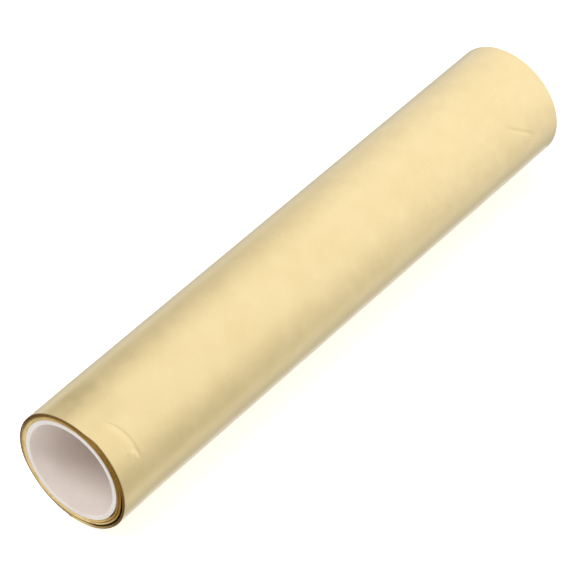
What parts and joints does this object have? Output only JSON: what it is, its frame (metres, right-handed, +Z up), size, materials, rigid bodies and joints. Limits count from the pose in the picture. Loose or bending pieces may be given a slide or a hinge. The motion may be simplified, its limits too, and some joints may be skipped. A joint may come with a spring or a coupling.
{
  "type": "roll of sign vinyl",
  "caption": "Roll of gold self-adhesive sign vinyl wound face out on an open plastic core, with a tail that lifts and uncurls and film that peels from its liner.",
  "frame": {"origin": "on the surface the roll rests on, under the middle of its footprint", "axes": "+X along the roll's axis, from the end seen in the picture towards the far end; +Z up; +Y away from the tail's hinge side"},
  "size_m": [0.3, 0.056, 0.0551],
  "materials": {
    "core_plastic": "smooth extruded white",
    "core_tape": "translucent double-sided tape",
    "gold_film": "satin gold metallised film",
    "amber_adhesive": "clear amber adhesive",
    "honey_liner": "siliconised honey paper"
  },
  "bodies": {
    "roll": {"core_tube": "core_plastic", "core_tape": "core_tape", "film_wound": "gold_film", "adhesive_wound": "amber_adhesive", "liner_wound": "honey_liner"},
    "tail_1": {"film_tail_1": "gold_film", "adhesive_tail_1": "amber_adhesive", "liner_tail_1": "honey_liner"},
    "tail_2": {"film_tail_2": "gold_film", "adhesive_tail_2": "amber_adhesive", "liner_tail_2": "honey_liner"},
    "tail_3": {"film_tail_3": "gold_film", "adhesive_tail_3": "amber_adhesive", "liner_tail_3": "honey_liner"},
    "tail_4": {"film_tail_4": "gold_film", "adhesive_tail_4": "amber_adhesive", "liner_tail_4": "honey_liner"},
    "peel_edge": {"film_peel_edge": "gold_film", "adhesive_peel_edge": "amber_adhesive"}
  },
  "joints": [
    {"name": "tail_lift", "type": "hinge", "parent": "roll", "child": "tail_1", "pos_m": [0, -0.02558, 0.01584], "axis": [-1, 0, 0], "range_deg": [0, 39], "stiffness_Nm_per_rad": 0.006, "springref_deg": -17.19},
    {"name": "tail_uncurl_2", "type": "hinge", "parent": "tail_1", "child": "tail_2", "pos_m": [0, -0.023, 0.01151], "axis": [-1, 0, 0], "range_deg": [0, 39]},
    {"name": "tail_uncurl_3", "type": "hinge", "parent": "tail_2", "child": "tail_3", "pos_m": [0, -0.01965, 0.00777], "axis": [-1, 0, 0], "range_deg": [0, 39]},
    {"name": "tail_uncurl_4", "type": "hinge", "parent": "tail_3", "child": "tail_4", "pos_m": [0, -0.01575, 0.00462], "axis": [-1, 0, 0], "range_deg": [0, 39]},
    {"name": "film_peel", "type": "hinge", "parent": "tail_4", "child": "peel_edge", "pos_m": [0, -0.00663, 0.00072], "axis": [-1, 0, 0], "range_deg": [0, 120], "stiffness_Nm_per_rad": 0.002, "springref_deg": -17.19}
  ],
  "couplings": [
    {"joint": "tail_uncurl_2", "follows": "tail_lift", "ratio": 1},
    {"joint": "tail_uncurl_3", "follows": "tail_lift", "ratio": 1},
    {"joint": "tail_uncurl_4", "follows": "tail_lift", "ratio": 1}
  ]
}
